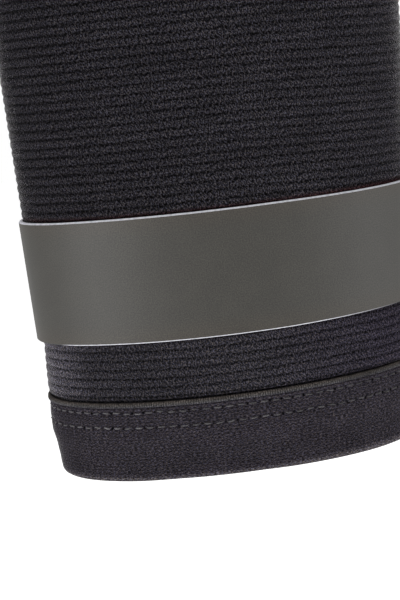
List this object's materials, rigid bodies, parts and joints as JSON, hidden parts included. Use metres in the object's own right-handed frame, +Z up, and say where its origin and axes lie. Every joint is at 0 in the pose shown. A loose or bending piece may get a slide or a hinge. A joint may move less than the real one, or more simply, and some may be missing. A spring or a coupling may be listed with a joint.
{
  "type": "knee support",
  "caption": "Open oval knitted knee sleeve, ribbed round the leg, with a smooth satin band above the calf hem and folded, stitched hems at both ends.",
  "frame": {"origin": "on the leg's axis at half the sleeve's length, where the knee sits", "axes": "+Z up along the leg towards the thigh end, +X across the wide way of the oval section, -Y out of the front face that the picture shows"},
  "size_m": [0.1282, 0.082, 0.28],
  "materials": {
    "ribbed_knit": "matt charcoal elastic knit with raised ribs",
    "satin_sheet": "satin olive-grey coated sheet with pale cut edges",
    "jersey_tape": "soft brushed charcoal jersey tape"
  },
  "bodies": {
    "root": {"knit_sleeve": "ribbed_knit", "smooth_band": "satin_sheet", "lower_hem": "jersey_tape", "upper_hem": "jersey_tape"}
  },
  "joints": []
}
